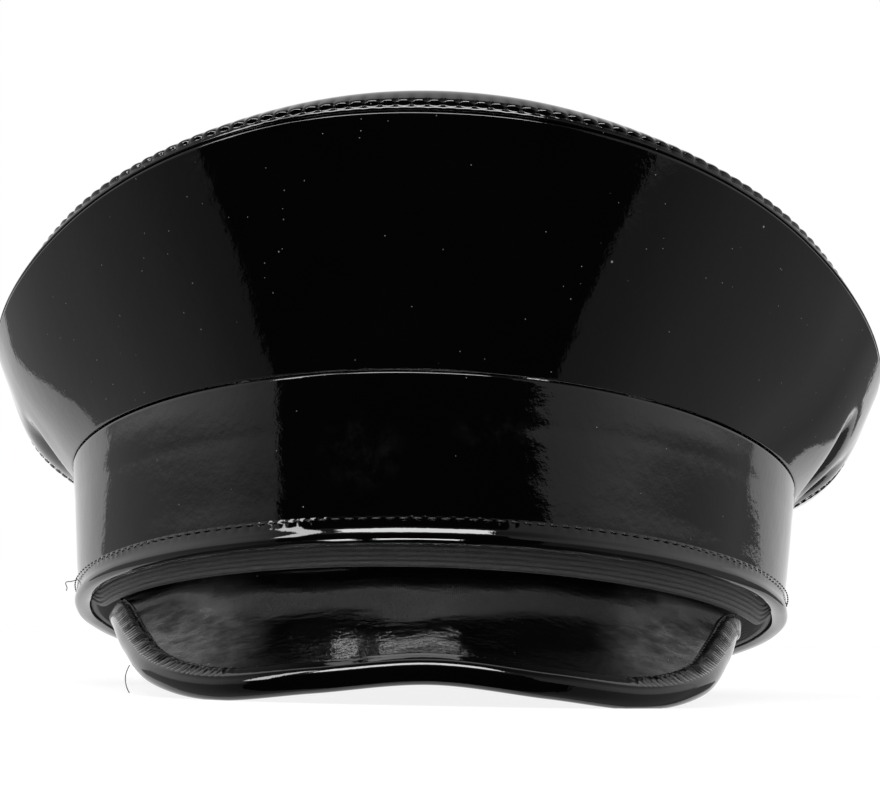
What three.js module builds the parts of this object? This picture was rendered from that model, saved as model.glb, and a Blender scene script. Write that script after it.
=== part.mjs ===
// A glossy peaked uniform cap: band, tall stiff front, softer back, puffed top and a bound peak.
// Millimetres. In the cap's own frame +Z is up through the crown, -Y is the front, and the
// underside of the band's binding lies in z = 0. The whole cap then leans back on its rear rim
// and the two lobes of its peak, as it does by itself on a table.
import * as THREE from 'three';

const DEG = Math.PI / 180;

// Gap that neighbouring pieces keep
const GAP = 0.3;

// Band: an oval strip, a little narrower at the rim than at the crown seam
const BAND = { halfWidth: 95, halfLength: 109, rimInset: 4.0, thickness: 1.4, bottom: 1.4 };
// Height of the band and crown seam round the head: mean, front over back, ends over sides, left over right
const SEAM = { mean: 36.66, front: -0.27, ends: 1.59, left: 1.3 };

// Binding folded over the band's lower edge
const BINDING = { wall: 1.0, height: 5.9, innerHeight: 4.6, round: 1.3 };

// Ribbed elastic ribbon inside the rim, hanging below the binding only above the peak
const RIBBON = {
  thickness: 1.4, top: 9.5, hangFront: 4.4, hangRight: 0.7, backBottom: 0.9, turn: 66, fade: 14,
};

// Oval edge where the crown panels meet the top panel; its front half is squarer than a true oval.
// Its height is a mean, waves that go once to four times round the head, and left over right.
const EDGE = {
  shiftRight: 0.6, halfWidth: 114, backWiden: 0.055, shiftBack: 5.5, halfLength: 123, squareness: 2.3,
  height: 71.9, waves: [17.7, 4.0, 4.1, -1.5], leftRise: 1.9,
};
const CROWN = { thickness: 1.6, sideSeam: 98 };

// How far the crown panels swell past the straight line from band to edge, by angle from the front
const SWELL = [
  { angle: 0, swell: 0.3 },
  { angle: 45, swell: 0.6 },
  { angle: 80, swell: 2.0 },
  { angle: 98, swell: 4.5 },
  { angle: 115, swell: 6.5 },
  { angle: 145, swell: 5.6 },
  { angle: 180, swell: 5.0 },
];

// Folds where the stiff front gives way to the soft back. Angles are measured at the band and at
// the crown edge, low and high are fractions of the panel's height, width and depth are mm.
const FOLDS = [
  { atBand: -93, atEdge: -84, low: 0.0, high: 0.62, width: 5.0, depth: 2.6 },
  { atBand: -104, atEdge: -108, low: 0.0, high: 0.75, width: 5.5, depth: 2.4 },
  { atBand: -122, atEdge: -126, low: 0.05, high: 0.9, width: 8.0, depth: 2.0 },
  { atBand: 90, atEdge: 74, low: 0.0, high: 0.72, width: 4.5, depth: 2.6 },
  { atBand: 95, atEdge: 88, low: 0.0, high: 0.6, width: 4.0, depth: 2.2 },
  { atBand: 108, atEdge: 113, low: 0.0, high: 0.8, width: 6.0, depth: 2.2 },
  { atBand: 131, atEdge: 127, low: 0.05, high: 0.9, width: 9.0, depth: 2.0 },
  { atBand: 160, atEdge: 164, low: 0.0, high: 0.7, width: 9.0, depth: 1.6 },
  { atBand: -155, atEdge: -150, low: 0.0, high: 0.7, width: 9.0, depth: 1.6 },
];
// Fraction of the panel's height over which a fold grows and dies away
const FOLD_FADE = { grow: 0.25, die: 0.3 };

// Top panel: a rounded shoulder all round, then an almost level dome
const TOP = { thickness: 1.6, shoulderIn: 12, middleUp: 10.5 };
const SHOULDER = [
  { angle: 0, up: 10.3 },
  { angle: 40, up: 6.7 },
  { angle: 75, up: 1.6 },
  { angle: 180, up: 5.0 },
];

// Peak: stiff board from the rim to its outer edge. Rows run from the middle to one tip.
const PEAK = {
  thickness: 2.6, spread: 60.8, turn: 1.2, shiftRight: -2.6, rootTurn: -0.2,
  rootTop: 6, kneeTop: -4.4, kneeLow: -11, knee: 0.22,
};
const PEAK_EDGE = [
  { across: 0, forward: 144.7, drop: 34.3 },
  { across: 23.7, forward: 142.5, drop: 36.3 },
  { across: 43.9, forward: 133.4, drop: 36.9 },
  { across: 57.6, forward: 117.3, drop: 31.8 },
  { across: 65.7, forward: 92.0, drop: 22.3 },
  { across: 70.5, forward: 70.1, drop: 14.3 },
  { across: 73.0, forward: 53.6, drop: 10.2 },
];
const PEAK_BINDING = { wall: 0.95, gap: 0.48, width: 6.6, round: 2.4 };

// Lean back at rest in degrees, and how deep the soft edges are pressed flat on the floor
const LEAN = 9.4;
const PRESSED = 0.4;

// Steps round the head, along the panels and up their height
const STEPS = { ring: 72, front: 44, back: 40, height: 8, top: 7, peak: 40, peakDepth: 7 };
// How much closer the panels' steps lie together at the side seams
const CROWDING = 0.35;

const VINYL = { color: 0x0b0b0d, roughness: 0.12, metalness: 0.0 };
const ELASTIC = { color: 0x17181a, roughness: 0.85, metalness: 0.0 };

function mix(a, b, t) {
  return a + (b - a) * t;
}

function smoothstep(low, high, x) {
  const t = Math.min(Math.max((x - low) / (high - low), 0), 1);
  return t * t * (3 - 2 * t);
}

// Smooth curve through evenly spaced values. Its far side mirrors it, with the other sign if odd.
function spline(values, t, odd) {
  const last = values.length - 1;
  const x = Math.min(Math.max(t, 0), 1) * last;
  const i = Math.min(Math.floor(x), last - 1);
  const f = x - i;
  const mirrored = odd ? -values[1] : values[1];
  const before = i > 0 ? values[i - 1] : mirrored;
  const after = i + 2 > last ? 2 * values[last] - values[last - 1] : values[i + 2];
  const a = values[i];
  const b = values[i + 1];
  const rise = (b - before) / 2;
  const fall = (after - a) / 2;
  return a + f * (rise + f * (3 * (b - a) - 2 * rise - fall + f * (2 * (a - b) + rise + fall)));
}

// Smooth value of one column of a table whose rows are at stated angles
function atAngle(table, column, angle) {
  const last = table.length - 1;
  let i = 0;
  while (i < last - 1 && table[i + 1].angle < angle) i += 1;
  const t = smoothstep(table[i].angle, table[i + 1].angle, angle);
  return mix(table[i][column], table[i + 1][column], t);
}

// Height of the seam between band and crown; phi is the angle from the front, + to the right
function seamHeight(phi) {
  return SEAM.mean + SEAM.front * Math.cos(phi) + SEAM.ends * Math.cos(2 * phi)
    - SEAM.left * Math.sin(phi);
}

// A point of the band's oval: z up, outward from the band's face
function ovalPoint(phi, z, outward) {
  const inset = BAND.rimInset * (1 - z / seamHeight(phi)) - outward;
  return new THREE.Vector3(
    (BAND.halfWidth - inset) * Math.sin(phi), -(BAND.halfLength - inset) * Math.cos(phi), z);
}

// Angle from the front without its side, in degrees
function fromFront(phi) {
  return Math.abs(Math.atan2(Math.sin(phi), Math.cos(phi))) / DEG;
}

// The crown edge, or the level between it and the crown's middle where reach is below 1
function edgePoint(phi, reach = 1) {
  const widen = 1 + EDGE.backWiden * smoothstep(50, 110, fromFront(phi));
  const square = Math.max(1 - Math.abs(Math.sin(phi)) ** EDGE.squareness, 0) ** (1 / EDGE.squareness);
  const ahead = Math.cos(phi) > 0 ? square : Math.cos(phi);
  let height = EDGE.height - EDGE.leftRise * reach * Math.sin(phi);
  EDGE.waves.forEach((rise, n) => {
    height += rise * reach ** (n + 1) * Math.cos((n + 1) * phi);
  });
  return new THREE.Vector3(
    EDGE.shiftRight + EDGE.halfWidth * widen * reach * Math.sin(phi),
    EDGE.shiftBack - EDGE.halfLength * reach * ahead, height);
}

// Depth of all folds at one place of the crown
function foldDepth(phi, height) {
  let depth = 0;
  for (const fold of FOLDS) {
    const centre = mix(fold.atBand, fold.atEdge, height) * DEG;
    let turn = phi - centre;
    if (turn > Math.PI) turn -= 2 * Math.PI;
    if (turn < -Math.PI) turn += 2 * Math.PI;
    const side = turn * EDGE.halfWidth / fold.width;
    const fade = smoothstep(fold.low, fold.low + FOLD_FADE.grow, height)
      * (1 - smoothstep(fold.high - FOLD_FADE.die, fold.high, height));
    depth += fold.depth * Math.exp(-side * side) * fade;
  }
  return depth;
}

// Outer face of the crown panels, height 0 at the band and 1 at the crown edge
function crownPoint(phi, height) {
  const low = ovalPoint(phi, seamHeight(phi), 0);
  low.z += GAP;
  const high = edgePoint(phi);
  const point = low.clone().lerp(high, height);
  const out = new THREE.Vector3(Math.sin(phi), -Math.cos(phi), 0);
  const slope = high.clone().sub(low).normalize();
  const normal = out.clone().addScaledVector(slope, -out.dot(slope)).normalize();
  const arch = Math.sin(Math.PI * height);
  const swell = atAngle(SWELL, 'swell', fromFront(phi)) * arch;
  return point.addScaledVector(normal, swell - foldDepth(phi, height));
}

// Inner face of the crown panels: one thickness in along the face's normal, but level at the top,
// where the top panel's rim rests
function crownInside(phi, height) {
  if (height === 1) {
    const out = new THREE.Vector3(Math.sin(phi), -Math.cos(phi), 0);
    return crownPoint(phi, 1).addScaledVector(out, -CROWN.thickness);
  }
  const small = 1e-3;
  const low = Math.max(height - small, 0);
  const along = crownPoint(phi + small, height).sub(crownPoint(phi - small, height));
  const across = crownPoint(phi, height + small).sub(crownPoint(phi, low));
  return crownPoint(phi, height).addScaledVector(along.cross(across).normalize(), -CROWN.thickness);
}

// Outer face of the top panel, inside its edge seam
function topPoint(phi, inward) {
  const shoulder = TOP.shoulderIn / EDGE.halfWidth;
  const turn = Math.min(inward / 0.5, 1) * 90 * DEG;
  let reach = 1 - shoulder * (1 - Math.cos(turn));
  let rise = atAngle(SHOULDER, 'up', fromFront(phi)) * Math.sin(turn);
  if (inward > 0.5) {
    const rest = (inward - 0.5) / 0.5;
    reach = (1 - shoulder) * (1 - rest);
    rise = mix(rise, TOP.middleUp, smoothstep(0, 1, rest));
  }
  const point = edgePoint(phi, reach);
  point.z += GAP + rise;
  return point;
}

// Closed solid between two grids of points, outer[i][j] and inner[i][j]. A ring closes on itself
// along i; a capped grid ends in one point along j.
function shell(outer, inner, { ring = false, capped = false } = {}) {
  const positions = [];
  const index = [];
  const columns = outer.length;
  const rows = outer[0].length;
  const put = (p) => {
    positions.push(p.x, p.y, p.z);
    return positions.length / 3 - 1;
  };
  const number = (grid) => {
    const poles = capped ? put(grid[0][rows - 1]) : null;
    return grid.map((column) => column.map((p, j) => (capped && j === rows - 1 ? poles : put(p))));
  };
  const a = number(outer);
  const b = number(inner);
  const quad = (p, q, r, s) => {
    if (p !== q && q !== r && p !== r) index.push(p, q, r);
    if (p !== r && r !== s && p !== s) index.push(p, r, s);
  };
  const spans = ring ? columns : columns - 1;
  for (let i = 0; i < spans; i += 1) {
    const n = (i + 1) % columns;
    for (let j = 0; j < rows - 1; j += 1) {
      quad(a[i][j], a[n][j], a[n][j + 1], a[i][j + 1]);
      quad(b[n][j], b[i][j], b[i][j + 1], b[n][j + 1]);
    }
    quad(b[i][0], b[n][0], a[n][0], a[i][0]);
    if (!capped) quad(a[i][rows - 1], a[n][rows - 1], b[n][rows - 1], b[i][rows - 1]);
  }
  if (!ring) {
    const e = columns - 1;
    for (let j = 0; j < rows - 1; j += 1) {
      quad(b[0][j], a[0][j], a[0][j + 1], b[0][j + 1]);
      quad(a[e][j], b[e][j], b[e][j + 1], a[e][j + 1]);
    }
  }
  return solidGeometry(positions, index);
}

// Closed solid swept through sections that are loops of points in the same order. An open sweep
// gets flat ends, filled as the section's own outline in its plane.
function sweep(sections, outline, ring) {
  const positions = [];
  const index = [];
  const count = sections[0].length;
  for (const section of sections) {
    for (const p of section) positions.push(p.x, p.y, p.z);
  }
  const spans = ring ? sections.length : sections.length - 1;
  for (let i = 0; i < spans; i += 1) {
    const here = i * count;
    const next = ((i + 1) % sections.length) * count;
    for (let j = 0; j < count; j += 1) {
      const k = (j + 1) % count;
      index.push(here + j, next + j, next + k, here + j, next + k, here + k);
    }
  }
  if (!ring) {
    const far = (sections.length - 1) * count;
    const anticlockwise = THREE.ShapeUtils.area(outline) > 0;
    for (const face of THREE.ShapeUtils.triangulateShape(outline, [])) {
      const turned = THREE.ShapeUtils.area(face.map((n) => outline[n])) > 0;
      const [p, q, r] = turned === anticlockwise ? face : [face[0], face[2], face[1]];
      index.push(p, q, r);
      index.push(far + p, far + r, far + q);
    }
  }
  return solidGeometry(positions, index);
}

// Geometry whose faces point outwards whatever way its grid was walked
function solidGeometry(positions, index) {
  let volume = 0;
  const corner = (n) => new THREE.Vector3().fromArray(positions, 3 * index[n]);
  for (let n = 0; n < index.length; n += 3) {
    volume += corner(n).dot(corner(n + 1).cross(corner(n + 2)));
  }
  if (volume < 0) {
    for (let n = 0; n < index.length; n += 3) {
      [index[n], index[n + 1]] = [index[n + 1], index[n]];
    }
  }
  const geometry = new THREE.BufferGeometry();
  geometry.setAttribute('position', new THREE.Float32BufferAttribute(positions, 3));
  geometry.setIndex(index);
  return geometry;
}

function ringAngles() {
  return Array.from({ length: STEPS.ring }, (_, i) => i * 2 * Math.PI / STEPS.ring);
}

// Angles from one side seam to the other, closest together at the seams where the folds are
function panelAngles(from, to, steps) {
  return Array.from({ length: steps + 1 }, (_, i) => {
    const u = 2 * i / steps - 1;
    const crowded = (1 + CROWDING) * u - CROWDING * u * u * u;
    return mix(from, to, (crowded + 1) / 2) * DEG;
  });
}

function fractions(steps) {
  return Array.from({ length: steps + 1 }, (_, j) => j / steps);
}

function buildBand() {
  const heights = fractions(3);
  const wall = (outward) => ringAngles().map((phi) => heights.map(
    (t) => ovalPoint(phi, mix(BAND.bottom, seamHeight(phi), t), outward)));
  return shell(wall(0), wall(-BAND.thickness), { ring: true });
}

// Section of the binding as a channel, in outward and up
function bindingOutline() {
  const slot = BAND.thickness + GAP;
  const face = GAP + BINDING.wall;
  const back = -(slot + BINDING.wall);
  const r = BINDING.round;
  return [
    [face - 0.5, BINDING.height], [face, BINDING.height - 0.9], [face, r],
    [face - 0.35 * r, 0.35 * r], [face - r, 0], [back + r, 0], [back + 0.35 * r, 0.35 * r],
    [back, r], [back, BINDING.innerHeight], [-slot, BINDING.innerHeight],
    [-slot, BINDING.wall + 0.1], [GAP, BINDING.wall + 0.1], [GAP, BINDING.height],
  ].map(([x, y]) => new THREE.Vector2(x, y));
}

function buildBandBinding() {
  const outline = bindingOutline();
  const sections = ringAngles().map((phi) => outline.map((p) => ovalPoint(phi, p.y, p.x)));
  return sweep(sections, outline, true);
}

// Lower edge of the ribbon round the head
function ribbonBottom(phi) {
  const hang = RIBBON.hangFront + RIBBON.hangRight * Math.sin(phi);
  const lift = smoothstep(RIBBON.turn, RIBBON.turn + RIBBON.fade, fromFront(phi));
  return mix(-hang, RIBBON.backBottom, lift);
}

function ribbonFace() {
  return -(BAND.thickness + 2 * GAP + BINDING.wall);
}

function buildSweatband() {
  const heights = fractions(2);
  const wall = (outward) => ringAngles().map((phi) => heights.map(
    (t) => ovalPoint(phi, mix(ribbonBottom(phi), RIBBON.top, t), outward)));
  const face = ribbonFace();
  return shell(wall(face), wall(face - RIBBON.thickness), { ring: true });
}

function buildCrownPanel(from, to, steps) {
  const face = (place) => panelAngles(from, to, steps).map((phi) => fractions(STEPS.height).map(
    (height) => place(phi, height)));
  return shell(face(crownPoint), face(crownInside));
}

// The top's inner face lies one thickness inside its outer face, along the face's own normal
function buildTopPanel() {
  const rows = fractions(STEPS.top);
  const small = 1e-3;
  const inside = (phi, t) => {
    if (t === 0) {
      const out = new THREE.Vector3(Math.sin(phi), -Math.cos(phi), 0);
      return topPoint(phi, 0).addScaledVector(out, -TOP.thickness);
    }
    if (t === 1) return topPoint(phi, 1).add(new THREE.Vector3(0, 0, -TOP.thickness));
    const along = topPoint(phi + small, t).sub(topPoint(phi - small, t));
    const across = topPoint(phi, t + small).sub(topPoint(phi, t - small));
    return topPoint(phi, t).addScaledVector(along.cross(across).normalize(), -TOP.thickness);
  };
  const outer = ringAngles().map((phi) => rows.map((t) => topPoint(phi, t)));
  const inner = ringAngles().map((phi) => rows.map((t) => inside(phi, t)));
  return shell(outer, inner, { ring: true, capped: true });
}

// Edge of the peak's board, side from -1 at the left tip to 1 at the right tip
function peakEdge(side) {
  const t = Math.abs(side);
  const column = (name) => spline(PEAK_EDGE.map((row) => row[name]), t, name === 'across');
  const point = new THREE.Vector3(Math.sign(side) * column('across'), -column('forward'), -column('drop'));
  point.applyAxisAngle(new THREE.Vector3(0, 0, 1), PEAK.turn * DEG);
  point.x += PEAK.shiftRight;
  return point;
}

// Middle surface of the peak: down inside the ribbon, round a knee, then out to the edge. Towards
// the tips the board hangs straight down from the rim to its edge.
function peakPoint(side, depth) {
  const phi = (side * PEAK.spread + PEAK.rootTurn) * DEG;
  const inward = ribbonFace() - RIBBON.thickness - GAP - PEAK.thickness / 2;
  const root = ovalPoint(phi, PEAK.kneeLow, inward);
  const edge = peakEdge(side);
  if (depth < PEAK.knee) {
    root.z = mix(PEAK.rootTop, PEAK.kneeTop, depth / PEAK.knee);
    return root;
  }
  const top = new THREE.Vector3(root.x, root.y, PEAK.kneeTop);
  const straight = smoothstep(0.5, 1, Math.abs(side)) / 2;
  const low = top.clone().lerp(edge, straight);
  low.z = mix(PEAK.kneeLow, low.z, 2 * straight);
  return new THREE.QuadraticBezierCurve3(top, low, edge).getPoint((depth - PEAK.knee) / (1 - PEAK.knee));
}

// Upward-facing unit normal of the peak's middle surface
function peakNormal(side, depth) {
  const small = 1e-3;
  const s = Math.min(Math.max(side, -1 + small), 1 - small);
  const d = Math.min(Math.max(depth, small), 1 - small);
  const across = peakPoint(s + small, d).sub(peakPoint(s - small, d));
  const along = peakPoint(s, d + small).sub(peakPoint(s, d - small));
  return along.cross(across).normalize();
}

function buildPeak() {
  const sides = fractions(STEPS.peak).map((t) => 2 * t - 1);
  const rows = fractions(STEPS.peakDepth);
  const face = (offset) => sides.map((side) => rows.map(
    (depth) => peakPoint(side, depth).addScaledVector(peakNormal(side, depth), offset)));
  return shell(face(PEAK.thickness / 2), face(-PEAK.thickness / 2));
}

// Section of the peak's binding as a channel round the board's edge, in outward and up
function peakBindingOutline() {
  const half = PEAK.thickness / 2 + PEAK_BINDING.gap;
  const face = half + PEAK_BINDING.wall;
  const nose = PEAK_BINDING.gap + PEAK_BINDING.wall;
  const back = nose - PEAK_BINDING.width;
  const r = PEAK_BINDING.round;
  return [
    [back, half], [back, face - 0.5], [back + 0.8, face], [nose - r, face], [nose - 0.3 * r, face - 0.45 * r],
    [nose, 0], [nose - 0.3 * r, 0.45 * r - face], [nose - r, -face], [back + 0.8, -face],
    [back, 0.5 - face], [back, -half], [PEAK_BINDING.gap, -half], [PEAK_BINDING.gap, half],
  ].map(([x, y]) => new THREE.Vector2(x, y));
}

// Place on the peak nearest to a point beside it: [side, depth], found by a few Newton steps
function nearestOnPeak(point, side, depth) {
  const small = 1e-3;
  let s = side;
  let d = depth;
  for (let step = 0; step < 8; step += 1) {
    const error = point.clone().sub(peakPoint(s, d));
    const across = peakPoint(s + small, d).sub(peakPoint(s - small, d)).divideScalar(2 * small);
    const along = peakPoint(s, d).sub(peakPoint(s, d - small)).divideScalar(small);
    const aa = across.dot(across);
    const ab = across.dot(along);
    const bb = along.dot(along);
    const det = aa * bb - ab * ab;
    s += (bb * across.dot(error) - ab * along.dot(error)) / det;
    s = THREE.MathUtils.clamp(s, -1, 1);
    d += (aa * along.dot(error) - ab * across.dot(error)) / det;
    d = THREE.MathUtils.clamp(d, PEAK.knee + small, 1);
  }
  return [s, d];
}

// Each section lies square to the board's edge and bends with the board
function buildPeakBinding() {
  const outline = peakBindingOutline();
  const small = 1e-3;
  const sides = fractions(STEPS.peak).map((t) => 2 * t - 1);
  const sections = sides.map((side) => {
    const edge = peakPoint(side, 1);
    const along = peakEdge(side + small).sub(peakEdge(side - small)).normalize();
    const out = along.clone().cross(peakNormal(side, 1)).normalize();
    if (out.dot(peakPoint(side, 1).sub(peakPoint(side, 0.9))) < 0) out.negate();
    return outline.map((p) => {
      const level = edge.clone().addScaledVector(out, Math.min(p.x, 0));
      const [s, d] = nearestOnPeak(level, side, 1);
      return peakPoint(s, d).addScaledVector(out, Math.max(p.x, 0)).addScaledVector(peakNormal(s, d), p.y);
    });
  });
  return sweep(sections, outline, false);
}

const cap = new THREE.Group();

function addPiece(name, geometry, look) {
  const mesh = new THREE.Mesh(geometry, new THREE.MeshStandardMaterial(look));
  mesh.name = name;
  cap.add(mesh);
  return mesh;
}

const { sideSeam } = CROWN;
const seamGap = GAP / EDGE.halfWidth / DEG;
addPiece('top_panel', buildTopPanel(), VINYL);
addPiece('front_panel', buildCrownPanel(-sideSeam, sideSeam, STEPS.front), VINYL);
addPiece('back_panel', buildCrownPanel(sideSeam + seamGap, 360 - sideSeam - seamGap, STEPS.back), VINYL);
addPiece('band', buildBand(), VINYL);
const rim = addPiece('band_binding', buildBandBinding(), VINYL);
addPiece('sweatband', buildSweatband(), ELASTIC);
addPiece('peak', buildPeak(), VINYL);
const lip = addPiece('peak_binding', buildPeakBinding(), VINYL);

// The cap leans back until its rear rim and the lobes of its peak meet the floor, and each is
// pressed a little flat there
const floorUp = new THREE.Vector3(0, -Math.sin(LEAN * DEG), Math.cos(LEAN * DEG));

function eachVertex(mesh, visit) {
  const position = mesh.geometry.attributes.position;
  const point = new THREE.Vector3();
  for (let n = 0; n < position.count; n += 1) {
    visit(point.fromBufferAttribute(position, n));
    position.setXYZ(n, point.x, point.y, point.z);
  }
}

function lowest(mesh) {
  let low = Infinity;
  eachVertex(mesh, (point) => {
    low = Math.min(low, point.dot(floorUp));
  });
  return low;
}

const floorLevel = Math.min(lowest(rim), lowest(lip)) + PRESSED;
for (const mesh of [rim, lip]) {
  eachVertex(mesh, (point) => {
    point.addScaledVector(floorUp, Math.max(floorLevel - point.dot(floorUp), 0));
  });
}

// Origin at the middle of the cap's footprint, on the floor
cap.rotation.x = -LEAN * DEG;
const box = new THREE.Box3().setFromObject(cap, true);
cap.position.set(-(box.min.x + box.max.x) / 2, -(box.min.y + box.max.y) / 2, -box.min.z);

export default cap;
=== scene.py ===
"""A glossy black peaked cap, seen from low in front on a pale floor.

The cap is drawn in its own frame, in metres: +Z runs up through the crown, -Y is the front, and
z = 0 is the underside of the band's binding. place() then leans it back as it rests. Angles called
phi run round the head, 0 at the front and positive to the right.
"""
import math

import bpy
import numpy as np
from mathutils import Matrix, Vector


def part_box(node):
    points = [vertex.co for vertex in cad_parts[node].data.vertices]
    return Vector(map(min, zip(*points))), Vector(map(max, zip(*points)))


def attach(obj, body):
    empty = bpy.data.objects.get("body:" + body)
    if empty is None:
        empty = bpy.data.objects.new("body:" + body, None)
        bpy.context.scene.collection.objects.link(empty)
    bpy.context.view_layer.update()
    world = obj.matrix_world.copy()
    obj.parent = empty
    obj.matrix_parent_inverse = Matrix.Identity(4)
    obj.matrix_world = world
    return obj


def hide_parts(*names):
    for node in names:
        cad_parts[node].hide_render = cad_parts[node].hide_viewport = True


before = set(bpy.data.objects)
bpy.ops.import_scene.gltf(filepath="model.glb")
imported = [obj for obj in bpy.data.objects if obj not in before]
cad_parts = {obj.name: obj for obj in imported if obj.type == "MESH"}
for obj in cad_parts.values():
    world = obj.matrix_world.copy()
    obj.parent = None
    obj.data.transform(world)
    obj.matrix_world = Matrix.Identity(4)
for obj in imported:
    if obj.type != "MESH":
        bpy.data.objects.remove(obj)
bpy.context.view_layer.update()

# Sizes in metres and angles in degrees

GAP = 0.0003
LEAN = math.radians(9.4)

# Band: an oval strip, a little narrower at the rim than at the crown seam
BAND = {"half_width": 0.095, "half_length": 0.109, "rim_inset": 0.004, "thickness": 0.0014, "bottom": 0.0014}
# Height of the seam between band and crown: mean, front over back, ends over sides, left over right
SEAM = {"mean": 0.03666, "front": -0.00027, "ends": 0.00159, "left": 0.0013}
# A faint crease round the band, left by its packing, and the unevenness of its face
CREASE = {"height": 0.0262, "sway": 0.0008, "reach": 0.0022, "depth": 0.00006}
BAND_WAVE = {"depth": 0.00011, "length": 0.048}

BINDING = {"wall": 0.001, "height": 0.0059, "inner_height": 0.0046}
# The rim binding's outer face from its top down to its bead, outward and up
RIM_FACE = (
    (0.0001, 0.0056), (0.0002, 0.0059), (0.00036, 0.00585), (0.00046, 0.0055), (0.00052, 0.0048),
    (0.00058, 0.0041), (0.00066, 0.0035), (0.0008, 0.0030), (0.001, 0.0025), (0.00118, 0.0020),
    (0.00126, 0.0015), (0.00122, 0.001), (0.00105, 0.0006), (0.00075, 0.00025), (0.0004, 0.00005),
)
RIM_PUCKER = {"reach": 0.0007, "dent": 0.00012, "rise": 0.00008}
RIM_WAVE = {"depth": 0.00012, "length": 0.03}

RIBBON = {"thickness": 0.0014, "top": 0.0095, "hang": 0.0044, "hang_right": 0.0007, "back": 0.0009}
# Where the ribbon's lower edge rises to the rim, past the peak's ends
RIBBON_TURN = {"start": 66, "fade": 14}
RIBS = 12
RIB = {"depth": 0.0005, "true_pitch": (RIBBON["top"] + RIBBON["hang"]) / RIBS, "steps": 8}

# Oval edge where the crown panels meet the top panel; its front half is squarer than a true oval.
# Its height is a mean, waves that go once to four times round the head, and left over right.
EDGE = {"shift_right": 0.0006, "half_width": 0.114, "back_widen": 0.055, "shift_back": 0.0055,
        "half_length": 0.123, "squareness": 2.3, "height": 0.0719,
        "waves": (0.0177, 0.004, 0.0041, -0.0015), "left_rise": 0.0019}
CROWN = {"thickness": 0.0016, "side_seam": 98}
# Swell of the crown past the straight line from band to edge, by degrees from the front
SWELL = ((0, 0.0003), (45, 0.0006), (80, 0.002), (98, 0.0045), (115, 0.0065), (145, 0.0056), (180, 0.005))
# Folds of the soft sides: degrees at the band and at the crown edge, the fractions of the height
# between which they run, their width and their depth
FOLDS = (
    (-93, -84, 0.0, 0.62, 0.0050, 0.0026),
    (-104, -108, 0.0, 0.75, 0.0055, 0.0024),
    (-122, -126, 0.05, 0.9, 0.0080, 0.0020),
    (90, 74, 0.0, 0.72, 0.0045, 0.0026),
    (95, 88, 0.0, 0.6, 0.0040, 0.0022),
    (108, 113, 0.0, 0.8, 0.0060, 0.0022),
    (131, 127, 0.05, 0.9, 0.0090, 0.0020),
    (160, 164, 0.0, 0.7, 0.0090, 0.0016),
    (-155, -150, 0.0, 0.7, 0.0090, 0.0016),
)
FOLD_FADE = {"grow": 0.25, "die": 0.3, "sharpness": 1.5}
# Unevenness of the crown's face, from its stiff front to its soft sides and back
CROWN_WAVE = {"stiff": 0.00007, "soft": 0.0004, "soft_from": 55, "soft_to": 110, "fade": 0.012}

TOP = {"thickness": 0.0016, "shoulder_in": 0.012, "middle_up": 0.0105}
SHOULDER = ((0, 0.0103), (40, 0.0067), (75, 0.0016), (180, 0.005))
TOP_WAVE = {"height": 0.0006, "length": 0.075}
# The top panel beside its edge seam: holes at the stitches and, past them, a swell that they pinch
# into scallops, strongest at the front
TOP_EDGE = {"roll": 0.00012, "pillow": 0.00004, "hole": 0.0003, "hole_reach": 0.0004, "swell": 0.0006,
            "swell_reach": 0.0008, "pinch": 0.92, "calm_from": 45, "calm_to": 80, "calm": 0.6,
            "width": 0.0075}

PEAK = {"thickness": 0.0026, "spread": 60.8, "turn": 1.2, "shift_right": -0.0026, "root_turn": -0.2,
        "root_top": 0.006, "knee_top": -0.0044, "knee_low": -0.011, "knee": 0.22}
# Edge of the peak's board from its middle to a tip: across, forward, drop
PEAK_EDGE = (
    (0, 0.1447, 0.0343),
    (0.0237, 0.1425, 0.0363),
    (0.0439, 0.1334, 0.0369),
    (0.0576, 0.1173, 0.0318),
    (0.0657, 0.092, 0.0223),
    (0.0705, 0.0701, 0.0143),
    (0.073, 0.0536, 0.0102),
)
# Unevenness of the peak's face: depth, length and seed
PEAK_WAVES = ((0.00009, 0.022, 41), (0.00016, 0.05, 42))
LIP = {"gap": 0.00045, "wall": 0.00095, "width": 0.0067, "nose": 0.0024}
# Gathers in the peak's binding, between fractions of its half length
GATHERS = {"pitch": 0.0018, "depth": 0.0009, "from": 0.27, "grow": 0.12, "to": 0.95, "die": 0.06,
           "slant": 0.25, "reach": 0.62}
LIP_PUCKER = {"reach": 0.0006, "dent": 0.0003}

# How far in a cut edge rolls at a seam
SEAM_ROLL = 0.0005
# Rows of stitches; columns are the steps of the stitched strip's mesh for each stitch
STITCHES = {
    "top": {"count": 216, "length": 0.0024, "width": 0.0004, "in_from_edge": 0.0014, "columns": 8},
    "rim": {"count": 204, "length": 0.0022, "width": 0.00042, "in_from_edge": 0.0006, "columns": 8},
    "lip": {"count": 104, "length": 0.0019, "width": 0.00042, "in_from_edge": 0.0006, "columns": 12},
    "side": {"count": 17, "length": 0.0022, "width": 0.0005, "in_from_edge": 0.0016},
}
STITCH_WANDER = 0.06
PATH_STEPS = 4

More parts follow.
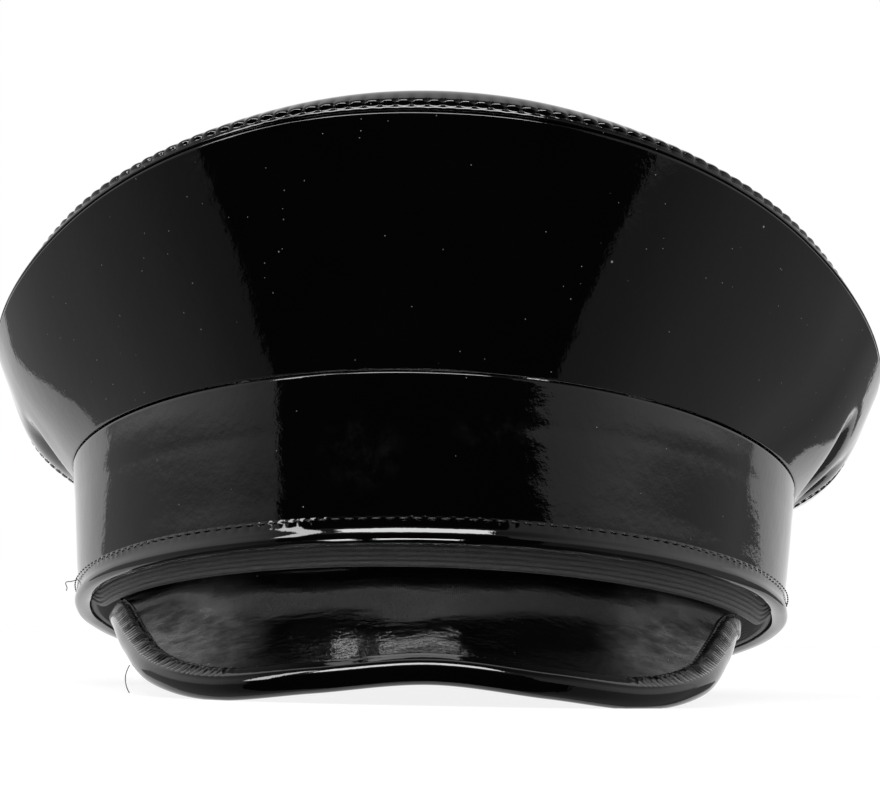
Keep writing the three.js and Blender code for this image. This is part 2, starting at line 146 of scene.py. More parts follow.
# Loose ends of thread and a hair, as they lie in the row frame
THREAD_TAILS = {
    "left_rim_thread_tail": (
        (-0.0905, -0.012, 0.0265), (-0.0925, -0.013, 0.0252), (-0.0938, -0.0125, 0.0262),
        (-0.0942, -0.012, 0.0250), (-0.0930, -0.0115, 0.0243), (-0.0936, -0.012, 0.0234)),
    "right_rim_thread_tail": ((0.0885, -0.012, 0.0246), (0.0901, -0.0125, 0.0240), (0.0896, -0.012, 0.0226)),
    "hair_at_peak": (
        (-0.0655, -0.0975, 0.0062), (-0.0664, -0.0985, 0.0040), (-0.0658, -0.0995, 0.0014),
        (-0.0650, -0.1000, 0.0003)),
}
TAIL = {"width": 0.00022, "steps": 28, "sides": 8, "smoothing": 30}

# What the gloss mirrors, by degrees of azimuth from the front and of elevation. The first four
# tables are edges that lean with elevation, as (elevation, azimuth).
GAP_LEFT = ((-20, -54), (-4, -53), (0, -51), (5, -51.5), (9, -54), (14, -54))
GAP_RIGHT = ((-20, 38), (0, 38.8), (3, 40.4), (5.5, 42.5), (8.2, 39.6), (10.2, 36.5), (12, 32.3), (16, 28))
WHITE_LEFT = ((-20, -122), (-15, -128), (-12.3, -131.9), (-7.5, -138.9), (-3.4, -141.9), (1, -131.7),
              (3.4, -126.9), (12, -124))
WHITE_RIGHT = ((-20, 136), (-8, 150), (-3.6, 152), (-2.7, 147), (0.6, 130.3), (2.4, 120.3), (12, 120))
# Light of the grey cards at the sides: by azimuth, and its multiple by elevation
SIDE_LIGHT = ((-140, 0.3), (-125, 0.36), (-100, 0.4), (-75, 0.3), (-62, 0.19), (-52, 0.15), (0, 0.12),
              (40, 0.17), (50, 0.2), (70, 0.33), (90, 0.36), (115, 0.36), (130, 0.2), (150, 0.2))
SIDE_RISE = ((-10, 1.0), (3.5, 1.0), (8, 2.5), (14, 2.8), (30, 2.6), (45, 1.2), (60, 0.35), (90, 0.16))
GAP_LIGHT = 0.006
GAP_TOP = {"elevation": 36, "soft": 4}
EDGE_SOFT = {"gap": 0.5, "white": 1.2, "box": 1.5, "low": 2}
# Soft boxes, and lights that only a second reflection shows, as the peak mirrors the rim: azimuth
# and elevation of the centre, half size, and light
BOXES = (
    ((-53, 40), (5, 18), 11.0),
    ((-8, 52), (32, 7), 16.0),
)
LOW_LIGHTS = (
    ((-5, 2), (17, 7), 120.0),
    ((-34, -2), (3, 10), 120.0),
)
LAMP = {"place": (-0.4, -0.5, 1.5), "aim": (0, 0, 0.05), "size": 1.2, "power": 8.0}
FLOOR_REACH = 6.0

# The camera stands low in front and looks slightly up, as in the photograph
CAMERA = {"place": (0.0006, -0.5964, 0.0135), "pitch": 5.93, "roll": 0.0205, "focal_px": 2286,
          "image_px": 880, "sensor": 36.0}


# Curves and surfaces of the cap

def mix(a, b, t):
    return a + (b - a) * t


def smoothstep(low, high, x):
    t = np.clip((x - low) / (high - low), 0, 1)
    return t * t * (3 - 2 * t)


def unit(vectors):
    return vectors / np.linalg.norm(vectors, axis=-1, keepdims=True)


def stacked(*parts):
    """Arrays that fit each other, joined along a new last axis."""
    return np.stack(np.broadcast_arrays(*parts), axis=-1)


def from_front(phi):
    """Degrees from the front, whichever the side."""
    return np.degrees(np.abs(np.arctan2(np.sin(phi), np.cos(phi))))


def at_angle(rows, angle):
    """Smooth value of a table of (angle, value) rows."""
    value = np.full(np.shape(angle), float(rows[0][1]))
    for (low, a), (high, b) in zip(rows, rows[1:]):
        value = value + (b - a) * smoothstep(low, high, angle)
    return value


def spline(values, t, odd=False):
    """Smooth curve through evenly spaced values, mirrored past its first one, with the other sign if odd."""
    values = np.asarray(values, float)
    mirrored = -values[1] if odd else values[1]
    padded = np.concatenate([[mirrored], values, [2 * values[-1] - values[-2]]])
    x = np.clip(t, 0, 1) * (len(values) - 1)
    i = np.minimum(x.astype(int), len(values) - 2)
    f = x - i
    before, a, b, after = (padded[i + k] for k in range(4))
    rise, fall = (b - before) / 2, (after - a) / 2
    return a + f * (rise + f * (3 * (b - a) - 2 * rise - fall + f * (2 * (a - b) + rise + fall)))


def ripple(points, wavelength, seed):
    """Gentle uneven waves, from about -1 to 1, fixed in space."""
    random = np.random.default_rng(seed)
    total = np.zeros(points.shape[:-1])
    waves = 7
    for _ in range(waves):
        direction = unit(random.normal(size=3)) * random.uniform(0.7, 1.4)
        total += np.sin(points @ direction * 2 * np.pi / wavelength + random.uniform(0, 2 * np.pi))
    return total / math.sqrt(waves)


def seam_height(phi):
    return (SEAM["mean"] + SEAM["front"] * np.cos(phi) + SEAM["ends"] * np.cos(2 * phi)
            - SEAM["left"] * np.sin(phi))


def oval_point(phi, z, outward):
    """Point at a height on the band's oval, or outward of it."""
    inset = BAND["rim_inset"] * (1 - z / seam_height(phi)) - outward
    across, ahead = BAND["half_width"] - inset, BAND["half_length"] - inset
    return stacked(across * np.sin(phi), -ahead * np.cos(phi), z)


def edge_point(phi, reach=1.0):
    """The crown edge, or the level inside it where reach is below 1."""
    widen = 1 + EDGE["back_widen"] * smoothstep(50, 110, from_front(phi))
    square = np.clip(1 - np.abs(np.sin(phi)) ** EDGE["squareness"], 0, 1) ** (1 / EDGE["squareness"])
    ahead = np.where(np.cos(phi) > 0, square, np.cos(phi))
    height = EDGE["height"] - EDGE["left_rise"] * reach * np.sin(phi)
    for n, rise in enumerate(EDGE["waves"], 1):
        height = height + rise * reach ** n * np.cos(n * phi)
    return stacked(EDGE["shift_right"] + EDGE["half_width"] * widen * reach * np.sin(phi),
                   EDGE["shift_back"] - EDGE["half_length"] * reach * ahead, height)


def fold_depth(phi, height):
    depth = 0.0
    for at_band, at_edge, low, high, width, deep in FOLDS:
        turn = phi - np.radians(mix(at_band, at_edge, height))
        turn = np.arctan2(np.sin(turn), np.cos(turn))
        side = np.abs(turn) * EDGE["half_width"] / width
        fade = (smoothstep(low, low + FOLD_FADE["grow"], height)
                * (1 - smoothstep(high - FOLD_FADE["die"], high, height)))
        depth = depth + deep * np.exp(-side ** FOLD_FADE["sharpness"]) * fade
    return depth


def crown_point(phi, height):
    """Face of the crown panels, height 0 at the band and 1 at the crown edge."""
    low = oval_point(phi, seam_height(phi), 0) + np.array([0, 0, GAP])
    high = edge_point(phi)
    point = mix(low, high, np.asarray(height)[..., None])
    out = stacked(np.sin(phi), -np.cos(phi), 0.0)
    slope = unit(high - low)
    normal = unit(out - slope * np.sum(out * slope, axis=-1, keepdims=True))
    swell = at_angle(SWELL, from_front(phi)) * np.sin(np.pi * height)
    return point + normal * (swell - fold_depth(phi, height))[..., None]


def top_point(phi, inward):
    """Face of the top panel, inward 0 at its edge seam and 1 in its middle."""
    shoulder = TOP["shoulder_in"] / EDGE["half_width"]
    turn = np.minimum(inward / 0.5, 1) * np.pi / 2
    rest = np.clip((inward - 0.5) / 0.5, 0, 1)
    reach = (1 - shoulder * (1 - np.cos(turn))) * (1 - rest)
    rise = mix(at_angle(SHOULDER, from_front(phi)) * np.sin(turn), TOP["middle_up"], smoothstep(0, 1, rest))
    point = edge_point(phi, reach)
    point[..., 2] += GAP + rise
    return point


def ribbon_face():
    return -(BAND["thickness"] + 2 * GAP + BINDING["wall"])


def peak_edge(side):
    t = np.abs(side)
    across, forward, drop = (spline([row[k] for row in PEAK_EDGE], t, odd=k == 0) for k in range(3))
    x, y = np.sign(side) * across, -forward
    turn = math.radians(PEAK["turn"])
    return stacked(x * math.cos(turn) - y * math.sin(turn) + PEAK["shift_right"],
                   x * math.sin(turn) + y * math.cos(turn), -drop)


def peak_point(side, depth):
    """Middle surface of the peak's board: down inside the rim, round a knee and out to its edge."""
    phi = np.radians(side * PEAK["spread"] + PEAK["root_turn"])
    inside = ribbon_face() - RIBBON["thickness"] - GAP - PEAK["thickness"] / 2
    root = oval_point(phi, PEAK["knee_low"], inside)
    edge = peak_edge(side)
    level = mix(PEAK["root_top"], PEAK["knee_top"], np.minimum(depth / PEAK["knee"], 1))
    straight = smoothstep(0.5, 1, np.abs(side)) / 2
    top = root.copy()
    top[..., 2] = PEAK["knee_top"]
    low = mix(top, edge, straight[..., None])
    low[..., 2] = mix(PEAK["knee_low"], low[..., 2], 2 * straight)
    t = (np.clip(depth - PEAK["knee"], 0, None) / (1 - PEAK["knee"]))[..., None]
    point = (1 - t) ** 2 * top + 2 * t * (1 - t) * low + t * t * edge
    point[..., 2] = np.where(depth < PEAK["knee"], level, point[..., 2])
    return point


SMALL = 1e-3


def peak_normal(side, depth):
    s = np.clip(side, -1 + SMALL, 1 - SMALL)
    d = np.clip(depth, SMALL, 1 - SMALL)
    across = peak_point(s + SMALL, d) - peak_point(s - SMALL, d)
    along = peak_point(s, d + SMALL) - peak_point(s, d - SMALL)
    return unit(np.cross(along, across))


def nearest_on_peak(point, side):
    """Side and depth of the places on the peak's middle surface nearest to points beside it."""
    s = side + 0.0 * point[..., 0]
    d = np.ones_like(s)
    for _ in range(8):
        error = point - peak_point(s, d)
        across = (peak_point(s + SMALL, d) - peak_point(s - SMALL, d)) / (2 * SMALL)
        along = (peak_point(s, d) - peak_point(s, d - SMALL)) / SMALL
        aa, ab, bb = (np.sum(u * v, axis=-1) for u, v in ((across, across), (across, along), (along, along)))
        ea, eb = np.sum(across * error, axis=-1), np.sum(along * error, axis=-1)
        det = aa * bb - ab * ab
        s = np.clip(s + (bb * ea - ab * eb) / det, -1, 1)
        d = np.clip(d + (aa * eb - ab * ea) / det, PEAK["knee"] + SMALL, 1)
    return s, d


def lean_back(points):
    x, y, z = np.moveaxis(points, -1, 0)
    return stacked(x, y * math.cos(LEAN) + z * math.sin(LEAN), z * math.cos(LEAN) - y * math.sin(LEAN))


def resting_offset():
    """From the leaning cap to the row frame, by the band's own box."""
    count = 72
    phi = np.linspace(0, 2 * np.pi, count, endpoint=False)
    rims = [lean_back(oval_point(phi, z, 0)) for z in (np.full(count, BAND["bottom"]), seam_height(phi))]
    own = np.concatenate(rims)
    low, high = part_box("band")
    return (np.array(low) + np.array(high) - own.min(0) - own.max(0)) / 2


OFFSET = resting_offset()


def place(points):
    """From the cap's own frame to the row frame, no lower than the floor."""
    placed = lean_back(points) + OFFSET
    placed[..., 2] = np.maximum(placed[..., 2], 0)
    return placed


def around(points, closed=True):
    """Unit normals of a grid of points, pointing to the left of its columns seen along its rows."""
    if closed:
        along = np.roll(points, -1, axis=0) - np.roll(points, 1, axis=0)
    else:
        along = np.gradient(points, axis=0)
    return unit(np.cross(along, np.gradient(points, axis=1)))


def lengths_along(points):
    """Running length down the first axis, from 0."""
    steps = np.linalg.norm(np.diff(points, axis=0), axis=-1)
    return np.concatenate([np.zeros((1,) + steps.shape[1:]), np.cumsum(steps, axis=0)])


def lengths_across(points):
    """Running length along each row of a grid, from 0."""
    return lengths_along(np.moveaxis(points, 1, 0)).T


def seam_roll(distance, radius=SEAM_ROLL):
    """How deep an edge rolls in, by the distance to it."""
    left = np.clip(radius - distance, 0, radius)
    return radius - np.sqrt(radius * radius - left * left)


def crowded(count, length, edge=0.0022, edge_rows=7):
    """Fractions from 0 to 1 with extra rows inside the rolled edges at both ends."""
    share = edge / length
    near = share * (1 - np.cos(np.linspace(0, np.pi / 2, edge_rows + 1)))
    middle = np.linspace(share, 1 - share, count + 1)[1:-1]
    return np.concatenate([near, middle, 1 - near[::-1]])[None, :]


def round_head(columns):
    """Angles round the head, as a column."""
    return (np.arange(columns) * 2 * np.pi / columns)[:, None]


def even_angles(row_of, count):
    """Angles at even steps of length along a closed row of points, and the row's length."""
    phi = np.linspace(0, 2 * np.pi, 1441)
    run = lengths_along(row_of(phi))
    return np.interp(np.arange(count) * run[-1] / count, run, phi), float(run[-1])


def pucker(arc, pitch):
    """0 at each stitch hole and 1 between two holes."""
    return np.abs(np.sin(np.pi * arc / pitch)) ** 0.7


# Meshes

class Piece:
    """Faces and their UVs, gathered and then made one mesh."""

    def __init__(self):
        self.points = []
        self.uvs = []
        self.faces = []
        self.corners = []
        self.count = 0

    def add(self, grid, uv):
        """Adds points with a UV each, and returns their numbers in the same shape."""
        numbers = self.count + np.arange(grid[..., 0].size).reshape(grid.shape[:-1])
        self.points.append(grid.reshape(-1, 3))
        self.uvs.append(uv.reshape(-1, 2))
        self.count += numbers.size
        return numbers

    def quads(self, numbers, ring=False, turned=False, wrap=0.0):
        """Faces between neighbours of a grid. A ring also joins its last column to its first."""
        if ring:
            numbers = np.vstack([numbers, numbers[:1]])
        a, b, c, d = numbers[:-1, :-1], numbers[1:, :-1], numbers[1:, 1:], numbers[:-1, 1:]
        faces = np.stack((d, c, b, a) if turned else (a, b, c, d), axis=-1)
        moved = np.zeros(faces.shape)
        if ring:
            moved[-1] = wrap * np.array([0, 1, 1, 0])
        self.faces.extend(faces.reshape(-1, 4).tolist())
        self.corners.extend(moved.reshape(-1, 4).tolist())

    def polygon(self, face, moved=None):
        self.faces.append(list(face))
        self.corners.append(list(moved) if moved is not None else [0.0] * len(face))

    def ladder(self, fine, coarse, wrap, turned=False):
        """Faces between a ring and one with a whole number of times fewer points."""
        ratio = len(fine) // len(coarse)
        for k in range(len(coarse)):
            near = [fine[(k * ratio + n) % len(fine)] for n in range(ratio + 1)]
            far = [coarse[(k + 1) % len(coarse)], coarse[k]]
            last = k == len(coarse) - 1
            moved = [0.0] * ratio + [wrap * last, wrap * last, 0.0]
            face = near + far
            self.polygon(face[::-1] if turned else face, moved[::-1] if turned else moved)

    def make(self, name, material):
        points = np.concatenate(self.points)
        uvs = np.concatenate(self.uvs)
        mesh = bpy.data.meshes.new(name)
        mesh.from_pydata(points.tolist(), [], self.faces)
        corners, moved = self.faces, self.corners
        if signed_volume(points, self.faces) < 0:
            mesh.flip_normals()
            corners, moved = ([row[:1] + row[:0:-1] for row in rows] for rows in (corners, moved))
        flat = uvs[np.concatenate([np.array(face) for face in corners])]
        flat[:, 0] += np.concatenate([np.array(row) for row in moved])
        mesh.uv_layers.new(name="UVMap").data.foreach_set("uv", flat.astype(np.float32).ravel())
        mesh.materials.append(material)
        smooth_faces(mesh)
        mesh.set_sharp_from_angle(angle=math.radians(50))
        return in_scene(name, mesh)


def signed_volume(points, faces):
    fans = np.array([(face[0], face[k], face[k + 1]) for face in faces for k in range(1, len(face) - 1)])
    a, b, c = (points[fans[:, k]] for k in range(3))
    return float(np.sum(a * np.cross(b, c)) / 6)


def smooth_faces(mesh):
    mesh.polygons.foreach_set("use_smooth", [True] * len(mesh.polygons))


def in_scene(name, data):
    """A new object in the scene for a mesh, a lamp or a camera."""
    made = bpy.data.objects.new(name, data)
    bpy.context.scene.collection.objects.link(made)
    return made


def ring_wrap(uv):
    """How far the UVs run on once round a ring."""
    return float(np.ptp(uv[..., 0])) * len(uv) / (len(uv) - 1)


def shell(name, outer, inner, uv, material, node, ring=False):
    """Closed wall between two grids of points, handed over for a node of the solid model."""
    piece = Piece()
    wrap = ring_wrap(uv) if ring else 0.0
    a = piece.add(place(outer), uv)
    b = piece.add(place(inner), uv)
    piece.quads(a, ring, wrap=wrap)
    piece.quads(b, ring, turned=True, wrap=wrap)
    piece.quads(np.stack([b[:, 0], a[:, 0]], axis=1), ring, wrap=wrap)
    piece.quads(np.stack([a[:, -1], b[:, -1]], axis=1), ring, wrap=wrap)
    if not ring:
        piece.quads(np.stack([a[0], b[0]], axis=0))
        piece.quads(np.stack([b[-1], a[-1]], axis=0))
    hand_over(piece.make(name, material), node)


def tube(name, sections, uv, material, node=None, ring=False):
    """Tube through loops of points, sections[i][j]; one that isn't a ring gets flat ends."""
    piece = Piece()
    numbers = piece.add(sections, uv)
    piece.quads(np.hstack([numbers, numbers[:, :1]]), ring, wrap=ring_wrap(uv) if ring else 0.0)
    if not ring:
        piece.polygon(numbers[0][::-1])
        piece.polygon(numbers[-1])
    hand_over(piece.make(name, material), node)


def hand_over(piece, node=None):
    """Fixes a piece to the cap; one with a node stands for that node of the solid model."""
    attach(piece, "root")
    if node:
        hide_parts(node)


# Materials

class Nodes:
    """Adds nodes to one tree and links them."""

    def __init__(self, tree):
        self.tree = tree

    def add(self, kind, settings=None, inputs=None):
        node = self.tree.nodes.new(kind)
        for key, value in (settings or {}).items():
            setattr(node, key, value)
        for key, value in (inputs or {}).items():
            if isinstance(value, bpy.types.NodeSocket):
                self.tree.links.new(value, node.inputs[key])
            else:
                node.inputs[key].default_value = value
        return node

    def math(self, operation, a, b=0.0, c=0.0):
        return self.add("ShaderNodeMath", {"operation": operation}, {0: a, 1: b, 2: c}).outputs[0]

    def times(self, a, b):
        return self.math("MULTIPLY", a, b)

    def plus(self, a, b):
        return self.math("ADD", a, b)

    def minus(self, a, b):
        return self.math("SUBTRACT", a, b)

    def absolute(self, value):
        return self.math("ABSOLUTE", value)

    def blend(self, share, a, b):
        """Colour a where the share is 0 and b where it is 1."""
        return self.add("ShaderNodeMix", {"data_type": "RGBA"}, {
            0: share, 6: (*a, 1) if isinstance(a, tuple) else a, 7: (*b, 1)}).outputs[2]

    def coordinates(self, kind="Object"):
        return self.add("ShaderNodeTexCoord").outputs[kind]

    def noise(self, vector, scale, detail=2.0, roughness=0.5):
        return self.add("ShaderNodeTexNoise", None, {
            "Vector": vector, "Scale": scale, "Detail": detail, "Roughness": roughness}).outputs["Fac"]

    def between(self, value, low, high, to_low=0.0, to_high=1.0):
        """Smooth step of a value from one range to another."""
        return self.add("ShaderNodeMapRange", {"interpolation_type": "SMOOTHSTEP"}, {
            "Value": value, "From Min": low, "From Max": high,
            "To Min": to_low, "To Max": to_high}).outputs["Result"]

    def within(self, value, half, soft):
        """1 where a value is nearer to 0 than a half width, with a soft edge."""
        return self.between(self.absolute(value), half, half + soft, 1.0, 0.0)

    def moved_to(self, coordinates, centre, size, turn=(0.0, 0.0, 0.0)):
        """Coordinates centred on a place and measured in a patch's own size."""
        return self.add("ShaderNodeMapping", {"vector_type": "TEXTURE"}, {
            "Vector": coordinates, "Location": centre, "Rotation": turn, "Scale": size}).outputs["Vector"]

    def patch(self, coordinates, centre, size, turn=(0.0, 0.0, 0.0)):
        """1 at a place and 0 beyond a patch's size."""
        local = self.moved_to(coordinates, centre, size, turn)
        length = self.add("ShaderNodeVectorMath", {"operation": "LENGTH"}, {0: local})
        return self.between(length.outputs["Value"], 0.35, 1.0, 1.0, 0.0)

    def dust(self, coordinates, cell, share, size):
        """1 on tiny scattered specks. Only a share of the cells holds one, of a stated size in cells."""
        cells = self.add("ShaderNodeTexVoronoi", None, {"Vector": coordinates, "Scale": 1 / cell})
        chosen = self.add("ShaderNodeSeparateColor", None, {"Color": cells.outputs["Color"]})
        small = self.between(cells.outputs["Distance"], size * 0.6, size, 1.0, 0.0)
        return self.times(small, self.math("LESS_THAN", chosen.outputs["Red"], share))

    def through(self, value, rows):
        """Straight lines through rows of (value, result), level beyond both ends."""
        xs, ys = zip(*rows)
        low, high = min(ys), max(ys)
        share = self.add("ShaderNodeMapRange", None, {
            "Value": value, "From Min": xs[0], "From Max": xs[-1]}).outputs["Result"]
        node = self.add("ShaderNodeFloatCurve", None, {"Value": share})
        curve = node.mapping.curves[0]
        while len(curve.points) < len(rows):
            curve.points.new(0.5, 0.5)
        for point, (x, y) in zip(curve.points, rows):
            point.location = ((x - xs[0]) / (xs[-1] - xs[0]), (y - low) / (high - low))
            point.handle_type = "VECTOR"
        node.mapping.update()
        return self.math("MULTIPLY_ADD", node.outputs[0], high - low, low)


class Surface(Nodes):
    """A material whose nodes feed one shader."""

    def __init__(self, name):
        self.material = bpy.data.materials.new(name)
        self.material.use_nodes = True
        super().__init__(self.material.node_tree)
        self.shader = self.tree.nodes["Principled BSDF"]

    def finish(self, colour, rough, height, distance, strength):
        bump = self.add("ShaderNodeBump", None, {
            "Height": height, "Distance": distance, "Strength": strength})
        fed = (("Base Color", colour), ("Roughness", rough), ("Normal", bump.outputs["Normal"]))
        for name, value in fed:
            self.tree.links.new(value, self.shader.inputs[name])
        return self.material


# Colours, among them the grey of the painted reflection, and the depth of the bump's unit, in metres
VINYL = {"dark": (0.0005, 0.0005, 0.0006), "light": (0.0012, 0.0012, 0.0013), "speck": (0.17, 0.17, 0.18),
         "painted_reflection": (0.15, 0.15, 0.155), "smudge": (0.06, 0.06, 0.063), "scratch": (0.09, 0.09, 0.093),
         "bump": 0.000008}
# Specks of dust: cell, share against the stated one, and size in cells
SPECKS = ((0.0021, 1.0, 0.07), (0.0093, 0.7, 0.035))


def patent_vinyl(name, specks=0.1, peel=1.0, smudges=(), scratches=(), painted_reflection=()):
    """Black patent vinyl: a hard gloss over cloth whose grain shows as orange peel, with grey patches of
    painted reflection where given.
    """
    m = Surface(name)
    here = m.coordinates()
    m.shader.inputs["IOR"].default_value = 1.5
    speck = m.math("MAXIMUM", *(m.dust(here, cell, specks * share, size) for cell, share, size in SPECKS))
    colour = m.blend(m.noise(here, 45.0, 3.0), VINYL["dark"], VINYL["light"])
    colour = m.blend(speck, colour, VINYL["speck"])
    # Painted reflection: cloudy grey patches in the colour stand in for the white surround mirrored by the
    # gloss.
    for centre, size, strength in painted_reflection:
        cloud = m.between(m.noise(here, 150.0, 5.0, 0.7), 0.3, 0.75, 0.25, 1.0)
        painted_reflection_share = m.times(m.times(m.patch(here, centre, size), cloud), strength)
        colour = m.blend(painted_reflection_share, colour, VINYL["painted_reflection"])
    rough = m.between(m.noise(here, 26.0, 4.0, 0.6), 0.35, 0.8, 0.025, 0.05)
    rough = m.plus(rough, m.times(speck, 0.5))
    for centre, size in smudges:
        cloud = m.between(m.noise(here, 240.0, 5.0, 0.7), 0.4, 0.75)
        mark = m.times(m.patch(here, centre, size), cloud)
        rough = m.plus(rough, m.times(mark, 0.06))
        colour = m.blend(m.times(mark, 0.06), colour, VINYL["smudge"])
    height = m.times(m.noise(here, 620.0, 3.0, 0.6), 3.2 * peel)
    height = m.plus(height, m.times(m.noise(here, 130.0, 2.0), 8.0 * peel))
    for centre, size, turn in scratches:
        streak = (size[0] * 2.4, size[1] * 0.05, size[2] * 0.05)
        lines = m.between(m.noise(m.moved_to(here, centre, streak, turn), 1.6, 4.0, 0.7), 0.56, 0.62)
        mark = m.times(m.patch(here, centre, size, turn), lines)
        rough = m.plus(rough, m.times(mark, 0.2))
        height = m.minus(height, m.times(mark, 0.8))
        colour = m.blend(m.times(mark, 0.5), colour, VINYL["scratch"])
    height = m.plus(height, m.times(speck, 4.0))
    return m.finish(colour, rough, height, VINYL["bump"], 1.0)


# The groove colour is painted shade for the hollows between the ribs.
ELASTIC = {"dark": (0.018, 0.0182, 0.019), "light": (0.05, 0.05, 0.053), "groove": (0.004, 0.004, 0.0045),
           "knit_pitch": 0.00055, "bump": 0.00006}


def ribbed_elastic(name):
    """Matte black elastic: its ribs are modelled, its knit runs across them, and painted shade darkens the
    grooves between the ribs.
    """
    m = Surface(name)
    uv = m.coordinates("UV")
    split = m.add("ShaderNodeSeparateXYZ", None, {0: uv})
    across = m.math("SINE", m.times(split.outputs[0], 2 * math.pi / ELASTIC["knit_pitch"]))
    fuzz = m.noise(uv, 900.0, 4.0, 0.7)
    turn = m.times(split.outputs[1], math.pi / RIB["true_pitch"])
    # Painted shade: the colour goes darker in the grooves between the ribs.
    groove = m.between(m.absolute(m.math("SINE", turn)), 0.25, 0.9, 1.0, 0.0)
    colour = m.blend(groove, m.blend(fuzz, ELASTIC["dark"], ELASTIC["light"]), ELASTIC["groove"])
    m.shader.inputs["Sheen Weight"].default_value = 0.25
    m.shader.inputs["Sheen Roughness"].default_value = 0.4
    height = m.plus(m.times(across, 0.5), fuzz)
    return m.finish(colour, m.between(fuzz, 0.2, 0.8, 0.55, 0.8), height, ELASTIC["bump"], 0.9)


def sewing_thread(name, colour):
    """Twisted sewing thread, slightly waxed."""
    m = Surface(name)
    twist = m.noise(m.coordinates(), 3200.0, 2.0)
    tint = m.blend(twist, tuple(0.45 * c for c in colour), colour)
    return m.finish(tint, m.between(twist, 0.3, 0.7, 0.4, 0.6), twist, 0.00005, 0.8)


def floor_paper(name):
    """Plain pale sheet, lit from below like a light table."""
    m = Surface(name)
    tint = m.blend(m.noise(m.coordinates(), 40.0, 4.0), (0.15, 0.15, 0.15), (0.16, 0.16, 0.16))
    m.tree.links.new(tint, m.shader.inputs["Base Color"])
    fixed = {"Emission Color": (1, 1, 1, 1), "Emission Strength": 0.86, "Roughness": 0.9,
             "Specular IOR Level": 0.1}
    for socket, value in fixed.items():
        m.shader.inputs[socket].default_value = value
    return m.material


# Stitches

def stitch_tree():
    """Geometry nodes that lay stitches at even steps along a path whose points know their outward."""
    tree = bpy.data.node_groups.new("stitches_along_path", "GeometryNodeTree")
    sockets = {"Path": "Geometry", "Stitch Count": "Int", "Stitch Length": "Float", "Thread Width": "Float",
               "Wander": "Float", "Seed": "Int", "Thread": "Material"}
    for name, kind in sockets.items():
        tree.interface.new_socket(name, in_out="INPUT", socket_type="NodeSocket" + kind)
    tree.interface.new_socket("Stitches", in_out="OUTPUT", socket_type="NodeSocketGeometry")
    n = Nodes(tree)
    entry = tree.nodes.new("NodeGroupInput").outputs
    half, radius = n.times(entry["Stitch Length"], 0.5), n.times(entry["Thread Width"], 0.5)
    size = n.add("ShaderNodeCombineXYZ", None, {0: half, 1: radius, 2: radius})
    bead = n.add("GeometryNodeMeshUVSphere", None, {"Segments": 6, "Rings": 5, "Radius": 1.0})
    thread = n.add("GeometryNodeTransform", None, {
        "Geometry": bead.outputs["Mesh"], "Scale": size.outputs[0]})
    curve = n.add("GeometryNodeMeshToCurve", None, {"Mesh": entry["Path"]})
    even = n.add("GeometryNodeResampleCurve", None, {
        "Curve": curve.outputs[0], "Count": entry["Stitch Count"]})
    tangent = n.add("GeometryNodeInputTangent")
    outward = n.add("GeometryNodeInputNamedAttribute", {"data_type": "FLOAT_VECTOR"}, {"Name": "outward"})
    along = n.add("FunctionNodeAlignRotationToVector", {"axis": "X"}, {"Vector": tangent.outputs[0]})
    upright = n.add("FunctionNodeAlignRotationToVector", {"axis": "Z", "pivot_axis": "X"}, {
        "Rotation": along.outputs[0], "Vector": outward.outputs["Attribute"]})
    yaw = n.add("FunctionNodeRandomValue", {"data_type": "FLOAT"}, {
        2: n.times(entry["Wander"], -1.0), 3: entry["Wander"], "Seed": entry["Seed"]})
    turn = n.add("ShaderNodeCombineXYZ", None, {2: yaw.outputs[1]})
    turned = n.add("FunctionNodeRotateRotation", {"rotation_space": "LOCAL"}, {
        "Rotation": upright.outputs[0], "Rotate By": turn.outputs[0]})
    laid = n.add("GeometryNodeInstanceOnPoints", None, {
        "Points": even.outputs[0], "Instance": thread.outputs[0], "Rotation": turned.outputs[0]})
    real = n.add("GeometryNodeRealizeInstances", None, {"Geometry": laid.outputs[0]})
    done = n.add("GeometryNodeSetMaterial", None, {"Geometry": real.outputs[0], "Material": entry["Thread"]})
    tree.links.new(done.outputs[0], tree.nodes.new("NodeGroupOutput").inputs[0])
    return tree


STITCH_TREE = stitch_tree()


def sew(name, path, normal, size, thread, seed, closed=False):
    """Stitches along a path of points with normals, both in the cap's own frame."""
    points = place(path)
    outward = unit(lean_back(path + normal) - lean_back(path))
    count = len(points)
    edges = [(k, k + 1) for k in range(count - 1)] + ([(count - 1, 0)] if closed else [])
    mesh = bpy.data.meshes.new(name)
    mesh.from_pydata(points.tolist(), edges, [])
    mesh.attributes.new("outward", "FLOAT_VECTOR", "POINT").data.foreach_set(
        "vector", outward.astype(np.float32).ravel())
    piece = in_scene(name, mesh)
    modifier = piece.modifiers.new("stitches", "NODES")
    modifier.node_group = STITCH_TREE
    values = {"Stitch Count": size["count"], "Stitch Length": size["length"], "Thread Width": size["width"],
              "Wander": STITCH_WANDER, "Seed": seed, "Thread": thread}
    for item in STITCH_TREE.interface.items_tree:
        if item.name in values:
            modifier[item.identifier] = values[item.name]
    piece.update_tag()
    graph = bpy.context.evaluated_depsgraph_get()
    sewn = bpy.data.meshes.new_from_object(piece.evaluated_get(graph))
    piece.modifiers.clear()
    piece.data = sewn
    smooth_faces(sewn)
    hand_over(piece)


# Pieces

